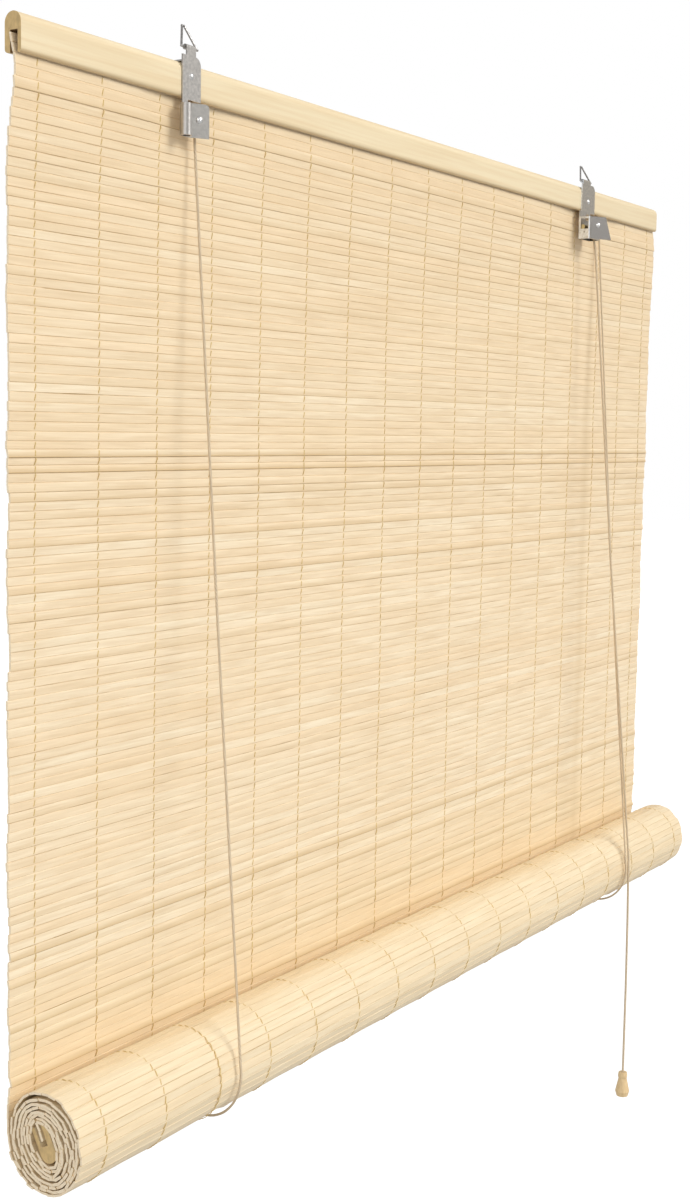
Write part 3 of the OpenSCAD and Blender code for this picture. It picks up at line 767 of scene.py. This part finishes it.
def hanging_place(k, x, out_by, down_by):
    tone = float(np.clip(dice.normal(0.35, 0.25), 0, 1))
    edge = at_side * np.where(down_by < 0, joint_edge(k, x), joint_edge(k + 1, x))
    share = down_by / SLAT_PITCH + 0.5
    # Painted shade on the lower half of the slat, from the joint below it.
    shade = np.where(down_by > 0, joint_shade[k + 1], 0)
    top = sheet_out(k, x, STEP_SHARE if k in RIDGES else 1)
    sheet = (1 - share) * top + share * sheet_out(k + 1, x)
    out_by, down_by = tilted(out_by, down_by, 0 if k < SEATED_SLATS else dice.normal(0.8, 1.4))
    ends = 1.3 + 0.9 * math.sin(k * 0.42) + 3.5 * math.exp(-(k / 6) ** 2)
    left, right = ends + dice.uniform(0, 1.4), ends + dice.uniform(0, 1.4)
    return trimmed(x, left, right), out_by + sheet, down_by, tone, edge, shade


hanging_slats = lay_slats("hanging_slats", mat_line, hanging_place)
print("hanging mat", len(hanging_slats.data.polygons), "faces")

# %% [markdown]
# ## The roll
# The outer turn shows its face, and the inner turns show only their ends, which are a little swollen.
# The faces of the inner turns get painted shade, so that the gaps between the turns look dark. The lift
# cords press shallow dents into the outer turn.

# %% Lay the rolled slats
OUTER_SLATS = 36
INNER_FULL = 1.25
INNER_WIDE = 1.07
INNER_GAP_SHADE = 0.62
CORD_SLATS = range(4, 25)
DENT_X = [-500, -368, -346, -338, -331, -323, 309, 323, 331, 338, 353, 500]
DENT = [0, 0, 0.8, 1.0, -0.4, 0, 0, 0.9, 0.5, -0.4, 0, 0]
roll_fold = dice.normal(0, 0.32, len(roll_line))
roll_fold[:OUTER_SLATS + 1] *= 0.25
ROLL_RIDGES = [12, 15, 18, 22, 26]
roll_fold[ROLL_RIDGES] += 0.45


def rolled_place(k, x, out_by, down_by):
    inner = k > OUTER_SLATS
    tone = float(np.clip(dice.normal(0.25, 0.2), 0, 1))
    # Joint lines, with a painted shadow line at the roll's ridges.
    line = dice.uniform(0.4, 1.1) + (0.6 if k in ROLL_RIDGES else 0)
    # Inner slats get painted shade on their faces, so that the gaps between the turns look dark.
    edge = np.where(at_side, line, INNER_GAP_SHADE if inner else 0)
    share = down_by / SLAT_PITCH + 0.5
    swell = (1 - share) * roll_fold[k] + share * roll_fold[k + 1]
    if inner:
        out_by, down_by = out_by * INNER_FULL, down_by * INNER_WIDE
    else:
        swell = swell + 0.35 * bow(x)
    if k in CORD_SLATS:
        swell = swell + np.interp(x, DENT_X, DENT)
    out_by, down_by = tilted(out_by, down_by, dice.normal(0, 1.2))
    left, right = dice.uniform(0.2, 2.0, 2)
    return trimmed(x, left, right), out_by + swell, down_by, tone, edge, np.zeros(len(x))


rolled_slats = lay_slats("rolled_slats", roll_line, rolled_place)
print("roll", len(rolled_slats.data.polygons), "faces")
bpy.data.objects.remove(slat)

# %% [markdown]
# ## Warp threads
# Seventeen pairs of threads bind the slats. The two threads of a pair change sides at every joint, so
# each slat shows one of them as a short slanting stitch. A straight line would look drawn on, so each
# thread runs over one slat, through the joint and behind the next.

# %% Weave the threads
THREAD_D = 0.75
STITCH_SLANT = 0.7
roll_start = roll_line[:OUTER_SLATS + 8]


def sheet_offset(line, x):
    """How far the hanging mat stands out at each joint of the line, and 0 on the roll."""
    if line is roll_start:
        return np.zeros(len(line))
    return np.array([sheet_out(k, x) for k in range(MAT_COUNT + 1 - len(line), MAT_COUNT + 1)])


def stitch_path(line, x, first_side, lift):
    """Points of one thread that passes the slats in front and behind by turns."""
    line = line + np.column_stack([-sheet_offset(line, x), np.zeros(len(line))])
    points = []
    for k in range(len(line) - 1):
        run = (line[k + 1] - line[k]) / np.linalg.norm(line[k + 1] - line[k])
        out = np.array([run[1], -run[0]])
        side = first_side if k % 2 == 0 else -first_side
        points.append((x + side * STITCH_SLANT, *line[k]))
        for share, slant in ((0.25, 0.6), (0.75, -0.6)):
            face = line[k] + run * share * SLAT_PITCH + out * side * lift
            points.append((x + side * slant * STITCH_SLANT, *face))
    points.append((x, *line[-1]))
    return np.array(points) * MM


def weave_threads(name, line, proud):
    """All threads along a line, standing out of the slats by the given share of a thread."""
    lift = SLAT_T / 2 + THREAD_D * (proud - 0.5)
    paths = [stitch_path(line, x, side, lift) for x in warp_x for side in (-1, 1)]
    piece = tube(name, paths, THREAD_D * MM, 0)
    piece.data.materials.append(WARP_THREAD)
    return piece


hanging_threads = weave_threads("hanging_threads", mat_line[SEATED_SLATS:], 0.75)
rolled_threads = weave_threads("rolled_threads", roll_start, 0.55)
print("threads", len(hanging_threads.data.polygons) + len(rolled_threads.data.polygons), "faces")

# %% [markdown]
# ## Following the roll
# On the real blind the mat is wound on as the roll rises. Here the hanging slats and threads are
# attached to the headrail, and the rolled slats and threads to the roll.

# %% Let the mat follow the roll
for piece in (hanging_slats, hanging_threads):
    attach(piece, "headrail")
    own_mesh(piece)
for piece in (rolled_slats, rolled_threads):
    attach(piece, "roll")
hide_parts("hanging_mat")
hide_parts("rolled_mat")

# %% [markdown]
# ## Bottom rail
# The mat is wound round a slotted wooden rail. On the real blind the rail ends level with the slats, so
# a copy of the solid is drawn out at both ends. The solid is made of loose triangles, which are merged
# in the copy first, so that each corner is moved as one.

# %% Draw out the bottom rail
RAIL_REACH = 0.4985


def draw_out_rail():
    bpy.ops.object.select_all(action="DESELECT")
    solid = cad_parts["bottom_rail"]
    rail = solid.copy()
    rail.data = solid.data.copy()
    rail.name = "bottom_rail_wood"
    bpy.context.scene.collection.objects.link(rail)
    rail.parent = None
    rail.matrix_world = Matrix.Identity(4)
    rail.select_set(True)
    bpy.context.view_layer.objects.active = rail
    bpy.ops.object.mode_set(mode="EDIT")
    bpy.ops.mesh.select_all(action="SELECT")
    bpy.ops.mesh.remove_doubles(threshold=0.001 * MM)
    bpy.ops.object.mode_set(mode="OBJECT")
    bpy.ops.object.shade_flat()
    end = max(v.co.x for v in rail.data.vertices)
    for side in (-1, 1):
        bpy.ops.object.mode_set(mode="EDIT")
        bpy.ops.mesh.select_mode(type="VERT")
        bpy.ops.mesh.select_all(action="DESELECT")
        bpy.ops.object.mode_set(mode="OBJECT")
        for vertex in rail.data.vertices:
            vertex.select = side * vertex.co.x > end - 0.1 * MM
        bpy.ops.object.mode_set(mode="EDIT")
        bpy.ops.transform.translate(value=(side * (RAIL_REACH - end), 0, 0))
        bpy.ops.object.mode_set(mode="OBJECT")
    rail.data.materials.clear()
    rail.data.materials.append(RAIL_WOOD)
    print("bottom rail from", end, "to", max(v.co.x for v in rail.data.vertices))
    return rail


bottom_rail = draw_out_rail()
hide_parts("bottom_rail")
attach(bottom_rail, "roll")

# %% [markdown]
# ## Rails and fittings
# The headrail, brackets, rings, screws, roller and knob keep the shape of their solids. Only their
# finish is set here.

# %% Finish of the solids
FINISH_OF = {
    "headrail": RAIL_WOOD, "left_bracket": GUIDE_ZINC,
    "right_bracket": LOCK_ZINC, "left_ring": RING_WIRE, "right_ring": RING_WIRE,
    "lock_roller": TURNED_BRASS, "bracket_screws": BRIGHT_WIRE, "guide_posts": BRIGHT_WIRE,
    "cord_staples": BRIGHT_WIRE, "pull_knob": KNOB_WOOD, "cord_knot": BRAIDED_CORD}
for name, finish in FINISH_OF.items():
    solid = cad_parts[name]
    solid.data.materials.clear()
    solid.data.materials.append(finish)
print("finished solids", len(FINISH_OF))

# %% [markdown]
# ## Stage
# The blind hangs in front of white, as on a product page. The world shows white to the camera and
# lights the object softly from all sides. One broad lamp from the upper right front models the slats,
# and a weak one from the left opens the shadows on their ends. The floor lies well below the knob.

# %% World
FLOOR_Z = -1.9
world = bpy.data.worlds.new("studio")
bpy.context.scene.world = world
world.use_nodes = True
nodes, links = world.node_tree.nodes, world.node_tree.links
soft = nodes["Background"]
soft.inputs["Color"].default_value = (1, 1, 1, 1)
soft.inputs["Strength"].default_value = 0.5
white = nodes.new("ShaderNodeBackground")
white.inputs["Color"].default_value = (1, 1, 1, 1)
white.inputs["Strength"].default_value = 1.0
seen = nodes.new("ShaderNodeLightPath")
choose = nodes.new("ShaderNodeMixShader")
links.new(seen.outputs["Is Camera Ray"], choose.inputs[0])
links.new(soft.outputs[0], choose.inputs[1])
links.new(white.outputs[0], choose.inputs[2])
links.new(choose.outputs[0], nodes["World Output"].inputs["Surface"])
print("world lights with", soft.inputs["Strength"].default_value)

# %% Floor and lamps
bpy.ops.object.select_all(action="DESELECT")
bpy.ops.mesh.primitive_plane_add(size=60, location=(0, 0, FLOOR_Z))
floor = bpy.context.object
floor.name = "floor"
pale, floor_shader = new_material("pale_floor", 0.9)
floor_shader.inputs["Base Color"].default_value = (0.6, 0.6, 0.6, 1)
floor_shader.inputs["Emission Color"].default_value = (1, 1, 1, 1)
direct = add_node(pale, "ShaderNodeLightPath").outputs["Is Camera Ray"]
join(pale, scaled(pale, direct, 0.6), floor_shader.inputs["Emission Strength"])
floor.data.materials.append(pale)


def add_sun(name, strength, angle, direction):
    data = bpy.data.lights.new(name, "SUN")
    data.energy = strength
    data.angle = math.radians(angle)
    lamp = bpy.data.objects.new(name, data)
    bpy.context.scene.collection.objects.link(lamp)
    lamp.rotation_euler = Vector(direction).to_track_quat("-Z", "Y").to_euler()
    print(name, "turned", tuple(lamp.rotation_euler))


add_sun("key_lamp", 1.7, 32, (-0.30, 1.0, -0.68))
add_sun("fill_lamp", 1.2, 70, (1.0, 0.25, -0.15))
bpy.context.scene.view_settings.view_transform = "Standard"
